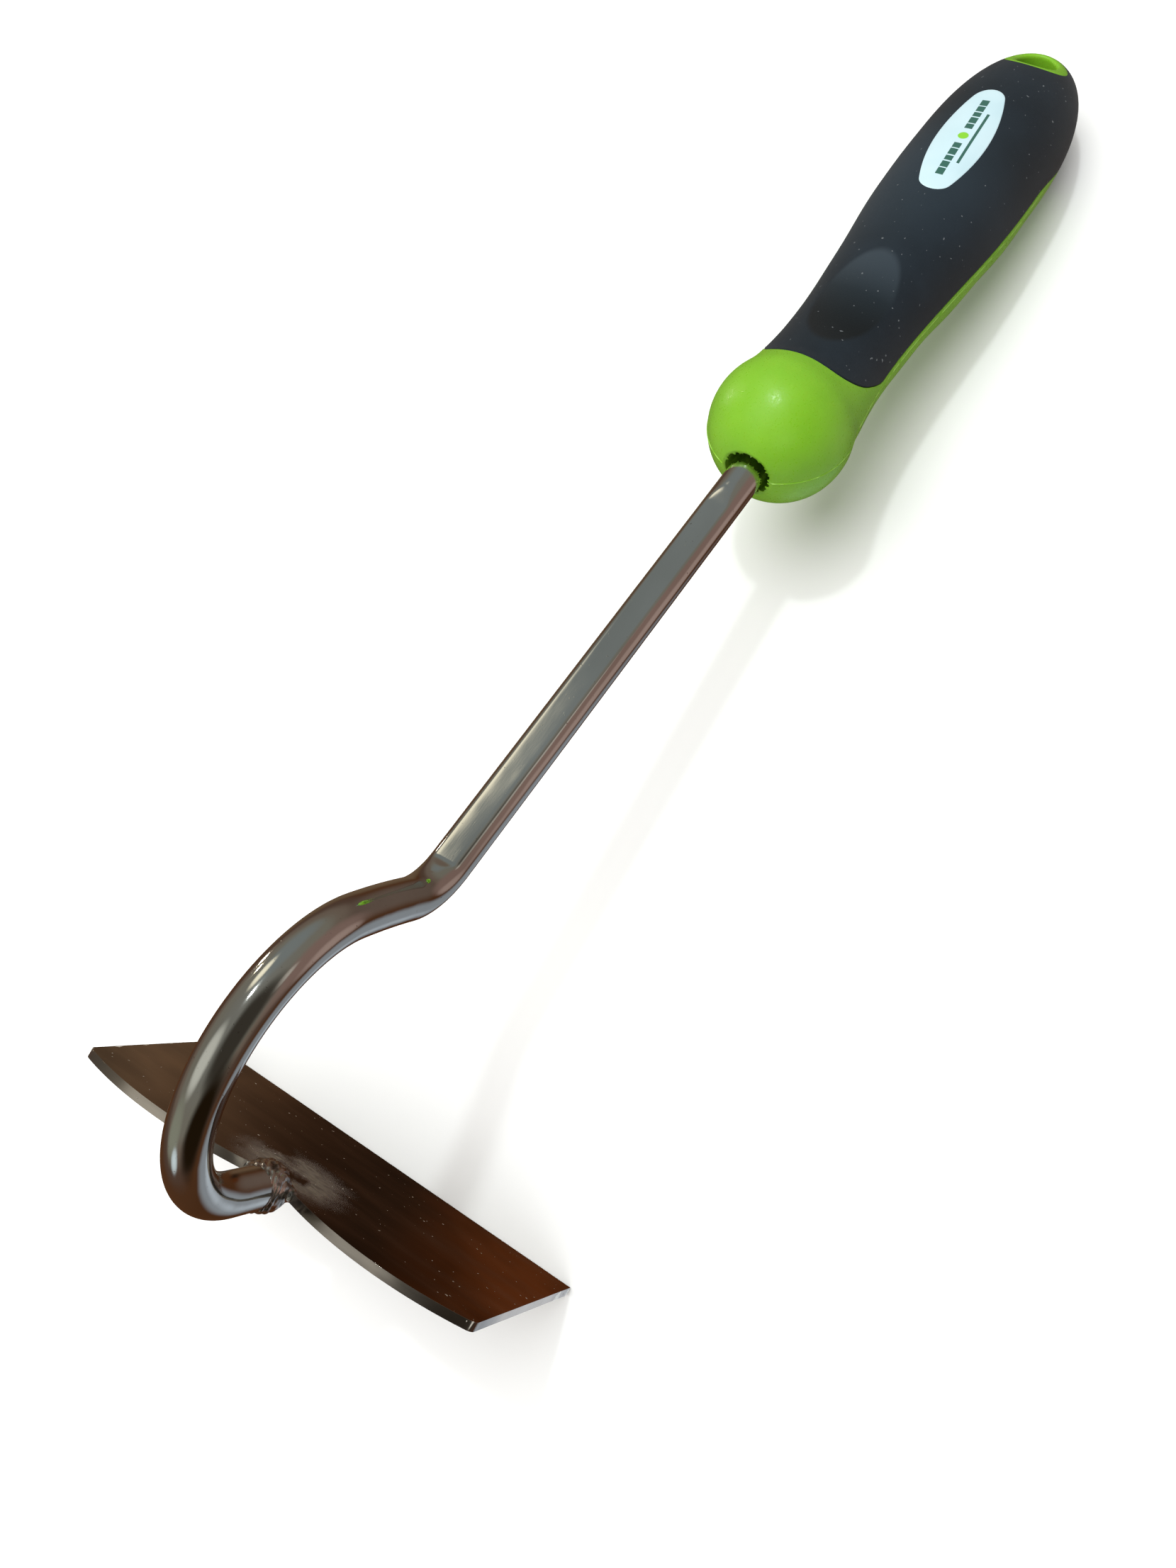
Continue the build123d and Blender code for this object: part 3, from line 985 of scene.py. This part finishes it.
def dent(x, angle):
    """Depth of the thumb dent."""
    across = section(x)[0] * sin(angle)
    reach = ((x - DENT_X) / DENT_HALF_LENGTH) ** 2 + (across / DENT_HALF_WIDTH) ** 2
    if reach >= 1 or abs(angle) > pi / 2:
        return 0.0
    return DENT_DEPTH * (1 - reach)


def grid_faces(grid, first=0):
    """Quads over an open grid of rows."""
    columns = len(grid[0])
    faces = []
    for r in range(len(grid) - 1):
        for c in range(columns - 1):
            a = first + r * columns + c
            faces.append((a, a + 1, a + columns + 1, a + columns))
    return faces


def open_edge(grid):
    """The grid's free edge: down one side, round the front and down the other side."""
    left = [grid[r][0] for r in range(CLOSED_ROW, 0, -1)]
    right = [grid[r][-1] for r in range(1, CLOSED_ROW + 1)]
    return left + list(grid[0]) + right


def flat(grid):
    """All the points of a grid, row by row."""
    return [p for ring in grid for p in ring]


def placed(points):
    """The same points in the row frame."""
    return [tool_point(*p) for p in points]


def join_patches(name, patches, smooth_angle=radians(40)):
    """One mesh from grids that share their edge points."""
    vertices, faces = [], []
    for grid in patches:
        faces += grid_faces(grid, len(vertices))
        vertices += placed(flat(grid))
    return mesh_object(name, vertices, faces, smooth_angle)


def end_cap(grid):
    """A fan of quads that closes the last row of a grid."""
    middle = sum((Vector(p) for p in grid[-1]), Vector()) / len(grid[-1])
    return [grid[-1], [middle] * len(grid[-1])]


def cut(made, cutter):
    """Takes the cutter's volume out of a piece."""
    boolean = made.modifiers.new("opening", "BOOLEAN")
    boolean.operation = "DIFFERENCE"
    boolean.solver = "EXACT"
    boolean.object = cutter
    mesh = apply_modifiers(made)
    bpy.data.objects.remove(cutter)
    mesh.shade_smooth()
    mesh.set_sharp_from_angle(angle=radians(40))


def upright_prism(x, half_length, half_width):
    """An elliptical cutter that stands through the grip."""
    around = 96
    rings = []
    for z in (-BALL_RADIUS * 2, BALL_RADIUS * 2):
        rings += [
            (x + half_length * cos(2 * pi * i / around), half_width * sin(2 * pi * i / around), z)
            for i in range(around)
        ]
    faces = ring_faces(2, around)
    faces += [tuple(range(around)), tuple(range(around, 2 * around))]
    return mesh_object("cutter", placed(rings), faces)


HANG_HOLE_X = 269
HANG_HOLE_RADIUS = 5
BOSS_HALF_LENGTH = 6.75
BOSS_HALF_WIDTH = 8.25
LINING = 0.05                # play between the cover's inside and the core


def build_cover():
    """The soft cover: outside, inside, the edge at the seam and the opening round the boss."""
    outer = cover_grid(SEAM_GAP, lambda x, angle, beside: rolled(beside) + dent(x, angle))
    inner = cover_grid(SEAM_GAP, lambda x, angle, beside: COVER_THICKNESS - LINING)
    top_edge, low_edge = open_edge(outer), open_edge(inner)
    patches = [outer, inner, [top_edge, low_edge], end_cap(outer), end_cap(inner)]
    made = join_patches("soft_grip_cover", patches)
    cut(made, upright_prism(HANG_HOLE_X, BOSS_HALF_LENGTH - 0.15, BOSS_HALF_WIDTH - 0.15))
    dress(made, RUBBER, "soft_grip")


# ---- hard core
PARTING_BANDS = (-0.34, -0.14, -0.06, 0, 0.06, 0.14, 0.34)
PARTING_HEIGHT = 0.13
UNDER_COLUMNS = 44
MOUTH_X = BALL_X - sqrt(BALL_RADIUS**2 - (MOUTH_RADIUS + MOUTH_LAND) ** 2)
BALL_ROWS = 64


def under_half(x, edge):
    """Angles from the seam's edge down to the underside, on one side, and the ridge height at each."""
    half_width = section(x)[0]
    room = (pi - edge) * half_width
    tight = min(1, room / 8)
    bands = [edge + band * tight / half_width for band in SEAM_BANDS]
    parting = max(angle_at_height(x, 0), edge + 0.8 * tight / half_width)
    shown = smoothstep(0.2, 0.7, seam_height(x)) if x > SEAM_SIDE_END else 1.0
    ribs = [parting + band * tight / half_width for band in PARTING_BANDS]
    start = ribs[-1]
    rest = [start + (pi - start) * i / UNDER_COLUMNS for i in range(1, UNDER_COLUMNS + 1)]
    heights = [0] * len(bands) + [0, 0, 0.7, 1, 0.7, 0, 0] + [0] * len(rest)
    return bands + ribs + rest, [height * shown * PARTING_HEIGHT for height in heights]


def under_ring(x, edge):
    """Points of the exposed underside from one seam round to the other."""
    angles, heights = under_half(x, edge)
    half_width = section(x)[0]
    points = []
    for angle, height in zip(angles, heights):
        points.append((angle, rolled((angle - edge) * half_width) - height))
    mirrored = [(2 * pi - angle, depth) for angle, depth in reversed(points[:-1])]
    return points + mirrored


def build_core_shell():
    """The core's bedding, the wall at the seam, the underside and the ball."""
    gap = -SEAM_GAP
    inner = cover_grid(gap, lambda x, angle, beside: COVER_THICKNESS)
    rim = cover_grid(gap, lambda x, angle, beside: SEAM_CORNER)
    wall = [open_edge(rim), open_edge(inner)]
    # The underside runs between the seams, from the ball to where they meet.
    underside = []
    for row in COVER_ROWS[: CLOSED_ROW + 1]:
        x = row_x(row, pi, gap)
        edge = min(seam_angle(max(x, SEAM_SIDE_START)) - gap / section(x)[0], pi)
        if row is COVER_ROWS[CLOSED_ROW]:
            edge = pi
        underside.append([grip_point(x, angle, depth) for angle, depth in under_ring(x, edge)])
    # The ball is whole rings whose last one follows the front seam.
    corner_x = SEAM_SIDE_START + gap
    corner = seam_angle(SEAM_SIDE_START) - gap / section(corner_x)[0]
    low_angles = under_ring(corner_x, corner)
    band = [corner - b / max(section(corner_x)[0], 2) for b in reversed(SEAM_BANDS)]
    half = [band[0] * i / TOP_COLUMNS for i in range(TOP_COLUMNS)] + band
    top_angles = [-a for a in reversed(half[1:])] + half
    shares = [(i / BALL_ROWS) ** 1.5 for i in range(BALL_ROWS)]
    ball = []
    for back_off in [("share", s) for s in shares] + [("band", b) for b in reversed(SEAM_BANDS)]:
        ring = []
        for angle in top_angles:
            last = front_x(angle) + gap
            x = ball_row_x(back_off, last)
            beside = last - x
            ring.append(grip_point(x, angle, rolled(beside)))
        for k in range(1, len(low_angles) - 1):
            x = ball_row_x(back_off, corner_x)
            angles, heights = under_half(x, corner)
            mirror = len(low_angles) - 1 - k
            index = min(k, mirror)
            angle = angles[index] if k <= mirror else 2 * pi - angles[index]
            beside = sqrt((corner_x - x) ** 2 + ((angles[index] - corner) * section(x)[0]) ** 2)
            ring.append(grip_point(x, angle, rolled(beside) - heights[index]))
        ring.append(ring[0])
        ball.append(ring)
    return inner, wall, underside, ball


def ball_row_x(back_off, last):
    kind, amount = back_off
    if kind == "band":
        return last - amount
    return MOUTH_X + (last - SEAM_BANDS[-1] - MOUTH_X) * amount


MOUTH_PROFILE = (            # depth into the mouth, radius beyond the bore, share of flash
    (-0.02, 0.45, 0), (0.0, 0.25, 0.2), (0.05, 0.1, 0.7), (0.14, 0.0, 1.0), (0.26, 0.0, 1.0),
    (0.4, 0.0, 0.4), (0.7, 0.0, 0.0), (2.0, 0.0, 0.0), (MOUTH_DEPTH, 0.0, 0.0), (MOUTH_DEPTH, -1.9, 0.0),
)
FLASH_REACH = 0.75
FLASH_LEVEL = 0.15
FLASH_WAVES = ((4.2, 0.3, 1.0), (11, 4.0, 1.1))    # lumps round the mouth, seed, weight


def flash(angle):
    """How ragged the moulding's flash is at an angle round the mouth."""
    rag = 0.0
    for lumps, seed, weight in FLASH_WAVES:
        rag += weight * noise.noise(Vector((cos(angle) * lumps, sin(angle) * lumps, seed)))
    return max(rag + FLASH_LEVEL, 0) * FLASH_REACH


def mouth_rings(first_ring):
    """From the ball's edge over a ragged lip of flash and down the bore."""
    rings = [first_ring]
    for deep, beyond, share in MOUTH_PROFILE:
        ring = []
        for point in first_ring:
            angle = atan2(point.y, point.z)
            radius = MOUTH_RADIUS + beyond - share * flash(angle)
            ring.append(Vector((MOUTH_X + deep, radius * sin(angle), radius * cos(angle))))
        rings.append(ring)
    middle = Vector((MOUTH_X + MOUTH_DEPTH, 0, 0))
    rings.append([middle] * len(first_ring))
    return list(reversed(rings))


def surface_height(x, y, side):
    """Height of the grip's top (side 1) or underside (side -1) over a point."""
    half_width, middle, half_height = section(x)
    return middle + side * half_height * sqrt(max(1 - (y / half_width) ** 2, 0))


BOSS_LIP = (                 # share of the way from the hole to the outline, depth below the surface
    (1.0, 2.6), (1.0, 0.35), (0.97, 0.10), (0.90, 0.0), (0.62, 0.02), (0.42, 0.14), (0.24, 0.34),
    (0.12, 0.62), (0.04, 1.0), (0.0, 1.5), (0.0, 3.5),
)


def build_boss():
    """The ring of hard plastic that lines the hang hole and shows through the cover."""
    around = 96
    rings = []
    for k in range(around):
        angle = 2 * pi * k / around
        ring = []
        for side in (1, -1):
            profile = BOSS_LIP if side == 1 else reversed(BOSS_LIP)
            for share, depth in profile:
                hole = Vector((HANG_HOLE_RADIUS * cos(angle), HANG_HOLE_RADIUS * sin(angle)))
                outline = Vector((BOSS_HALF_LENGTH * cos(angle), BOSS_HALF_WIDTH * sin(angle)))
                place = hole.lerp(outline, share)
                x = HANG_HOLE_X + place.x
                ring.append(Vector((x, place.y, surface_height(x, place.y, side) - side * depth)))
        rings.append(ring)
    count = len(rings[0])
    faces = []
    for k in range(around):
        for p in range(count):
            a, b = k * count + p, k * count + (p + 1) % count
            c, d = ((k + 1) % around) * count + (p + 1) % count, ((k + 1) % around) * count + p
            faces.append((a, b, c, d))
    return mesh_object("hang_boss", placed(flat(rings)), faces, radians(60))


def build_core():
    """The hard moulding: bedding under the cover, underside, ball, mouth and boss."""
    inner, wall, underside, ball = build_core_shell()
    mouth = mouth_rings(ball[0])
    made = join_patches("handle_core_moulding", [inner, end_cap(inner), wall, underside, ball, mouth])
    cut(made, upright_prism(HANG_HOLE_X, HANG_HOLE_RADIUS + 0.4, HANG_HOLE_RADIUS + 0.4))
    boss = build_boss()
    with bpy.context.temp_override(
        active_object=made, object=made, selected_objects=[made, boss], selected_editable_objects=[made, boss]
    ):
        bpy.ops.object.join()
    dress(made, GREEN, "handle_core")


# ---- label
LABEL_LENGTH = 51.5
LABEL_WIDTH = 12.8
LABEL_TIP_RADIUS = 4
LABEL_PROUD = 0.06
LABEL_SUNK = 0.3
LABEL_RIM = (                # distance in from the edge, height above the cover
    (0.16, LABEL_PROUD), (0.07, LABEL_PROUD - 0.02), (0.0, LABEL_PROUD - 0.07), (0.0, -LABEL_SUNK),
)


def label_outline():
    """The label's half width at a distance along it, and the distance to its tip."""
    radius = (LABEL_LENGTH**2 + LABEL_WIDTH**2) / (4 * LABEL_WIDTH)
    inset = radius - LABEL_WIDTH / 2
    tip_centre = sqrt((radius - LABEL_TIP_RADIUS) ** 2 - inset**2)
    tangent = tip_centre * radius / (radius - LABEL_TIP_RADIUS)

    def half_width(along):
        along = abs(along)
        if along < tangent:
            return sqrt(radius**2 - along**2) - inset
        return sqrt(max(LABEL_TIP_RADIUS**2 - (along - tip_centre) ** 2, 0))

    return half_width, tip_centre + LABEL_TIP_RADIUS


def label_point(along, across, rise):
    """A point over the grip from the label's own axes and a height above the surface."""
    x = LABEL_X + along * cos(LABEL_TWIST) - across * sin(LABEL_TWIST)
    y = LABEL_Y + along * sin(LABEL_TWIST) + across * cos(LABEL_TWIST)
    return Vector((x, y, surface_height(x, y, 1) + rise))


def build_label():
    """A thin oval film: its top, its rounded rim and its underside, sunk in the cover."""
    half_width, tip = label_outline()
    around, rings = 128, 22
    outline = []
    for k in range(around):
        angle = 2 * pi * k / around
        along = tip * cos(angle)
        outline.append((along, half_width(along) * (1 if sin(angle) >= 0 else -1)))
    grid = []
    shares = [i / rings for i in range(rings)]
    for share in shares:
        grid.append([label_point(a * share, b * share, LABEL_PROUD) for a, b in outline])
    for inward, rise in LABEL_RIM:
        scale = 1 - inward / (LABEL_WIDTH / 2)
        grid.append([label_point(a * scale, b * scale, rise) for a, b in outline])
    for share in reversed(shares):
        grid.append([label_point(a * share, b * share, -LABEL_SUNK) for a, b in outline])
    grid = [ring + [ring[0]] for ring in grid]
    made = join_patches("label_film", [grid], radians(60))
    dress(made, LABEL_FILM, "label")


build_bar()
build_blade()
build_weld()
build_cover()
build_core()
build_label()


# ---- stage
# Lengths are in metres again.
ROOM_BY_HEIGHT = (           # 0 straight down, 1 straight up
    (0.00, (0.085, 0.032, 0.012)),
    (0.22, (0.110, 0.046, 0.020)),
    (0.36, (0.120, 0.072, 0.052)),
    (0.50, (0.215, 0.165, 0.130)),
    (0.64, (0.250, 0.235, 0.195)),
    (1.00, (0.250, 0.250, 0.225)),
)
ROOM_PATCHES = (             # direction, angles in degrees where it is full and gone, colour
    ((0.70, 0.32, 0.64), 12, 34, (0.255, 0.285, 0.285)),
    ((-0.48, 0.40, 0.78), 10, 27, (0.760, 0.770, 0.700)),
    ((-0.90, 0.40, 0.15), 8, 26, (0.330, 0.340, 0.270)),
    ((-0.98, 0.12, -0.10), 4, 11, (0.900, 1.050, 1.120)),
    ((0.80, -0.15, -0.50), 12, 36, (0.170, 0.122, 0.098)),
    ((0.55, -0.80, -0.05), 14, 38, (0.300, 0.200, 0.172)),
    ((0.42, -0.83, -0.38), 5, 18, (0.480, 0.350, 0.310)),
    ((0.40, -0.82, 0.42), 3, 10, (0.720, 0.670, 0.600)),
    ((-0.12, -0.66, 0.74), 22, 44, (0.055, 0.048, 0.038)),
    ((-0.72, -0.68, 0.02), 18, 38, (0.018, 0.010, 0.004)),
    ((-0.05, -0.46, -0.88), 15, 31, (0.350, 0.385, 0.430)),
    ((-0.13, -0.30, -0.95), 3, 9, (0.620, 0.700, 0.790)),
    ((0.38, 0.66, -0.65), 6, 24, (0.170, 0.110, 0.065)),
    ((0.44, 0.30, -0.85), 3, 9, (0.026, 0.013, 0.007)),
    ((0.47, 0.16, -0.87), 2, 7, (0.100, 0.027, 0.007)),
    ((0.42, 0.55, 0.73), 4, 13, (1.500, 1.420, 1.120)),
)


def camera():
    """The viewing point stands close above the blade's side and looks down the tool."""
    data = bpy.data.cameras.new("camera")
    data.sensor_width = 36
    data.lens = 30.24
    data.clip_start = 0.01
    made = bpy.data.objects.new("camera", data)
    bpy.context.scene.collection.objects.link(made)
    place = Vector((-0.11953, -0.09245, 0.28280))
    aim = Vector((-0.06919, -0.01639, 0.06405))
    roll = radians(-26.15)
    turn = (aim - place).to_track_quat("-Z", "Y").to_matrix() @ Matrix.Rotation(roll, 3, "Z")
    made.matrix_world = Matrix.Translation(place) @ turn.to_4x4()
    bpy.context.scene.camera = made
    return made


def area_light(name, place, aim, size, power, colour=(1, 1, 1), glossy=True):
    data = bpy.data.lights.new(name, "AREA")
    data.shape = "ELLIPSE"
    data.size = size[0]
    data.size_y = size[1]
    data.energy = power
    data.color = colour
    made = bpy.data.objects.new(name, data)
    bpy.context.scene.collection.objects.link(made)
    made.location = place
    made.rotation_mode = "QUATERNION"
    made.rotation_quaternion = (Vector(aim) - Vector(place)).to_track_quat("-Z", "Y")
    made.visible_glossy = glossy
    return made


def surroundings():
    """A dim room round a warm brown bench, as the polished steel mirrors it."""
    world = bpy.data.worlds.new("room")
    world.use_nodes = True
    world.node_tree.nodes.clear()
    room = Tree(world.node_tree)
    place = room.add("ShaderNodeTexCoord").outputs["Generated"]

    def towards(direction):
        """1 looking along a direction, 0 looking the other way."""
        dot = room.add("ShaderNodeVectorMath", operation="DOT_PRODUCT")
        dot.inputs[1].default_value = Vector(direction).normalized()
        room.link(place, dot.inputs[0])
        share = room.add("ShaderNodeMapRange")
        share.inputs["From Min"].default_value = -1
        room.link(dot.outputs["Value"], share.inputs["Value"])
        return share.outputs["Result"]

    colour = room.ramp(towards((0, 0, 1)), *ROOM_BY_HEIGHT, interpolation="EASE")
    for direction, inner, outer, tone in ROOM_PATCHES:
        fade = [((1 + cos(radians(angle))) / 2, level) for angle, level in ((outer, 0.0), (inner, 1.0))]
        mask = room.ramp(towards(direction), *fade, interpolation="EASE")
        colour = room.mix(mask, colour, tone)
    back = room.add("ShaderNodeBackground")
    out = room.add("ShaderNodeOutputWorld")
    room.link(colour, back.inputs["Color"])
    room.link(back.outputs[0], out.inputs[0])
    bpy.context.scene.world = world


def floor():
    """A plain pale floor that doesn't show in the polished steel."""
    half = 4.0
    low = CAD_BOX[0].z - 0.0002
    made = mesh_object(
        "floor",
        [(-half, -half, low), (half, -half, low), (half, half, low), (-half, half, low)],
        [(0, 1, 2, 3)],
    )
    m = Nodes("pale_floor")
    m.set(Roughness=0.9, Specular_IOR_Level=0.1)
    m.wear("Base Color", m.ramp(m.noise(6, detail=2), (0.3, 0.86), (0.7, 0.88)))
    made.data.materials.append(m.material)
    made.visible_glossy = False


camera()
surroundings()
floor()
area_light("overhead_soft", (-0.2, 0.3, 1.5), (0, 0, 0), (1.6, 1.6), 27, glossy=False)
area_light("side_soft", (-0.9, -0.7, 0.9), (0, 0, 0), (0.8, 0.8), 5, glossy=False)
area_light("cool_lamp", (0.13, 0.18, 1.0), (0.02, 0, 0.05), (0.06, 0.06), 2.0, (0.93, 1.0, 1.0))
area_light("warm_lamp", (0.16, 0.94, 0.12), (-0.09, 0, 0.07), (0.08, 0.08), 0.5, (1.0, 0.90, 0.72))
area_light("small_warm_lamp", (0.19, 0.90, 0.42), (-0.09, 0, 0.07), (0.05, 0.05), 0.3, (1.0, 0.88, 0.66))

bpy.context.scene.view_settings.view_transform = "Standard"
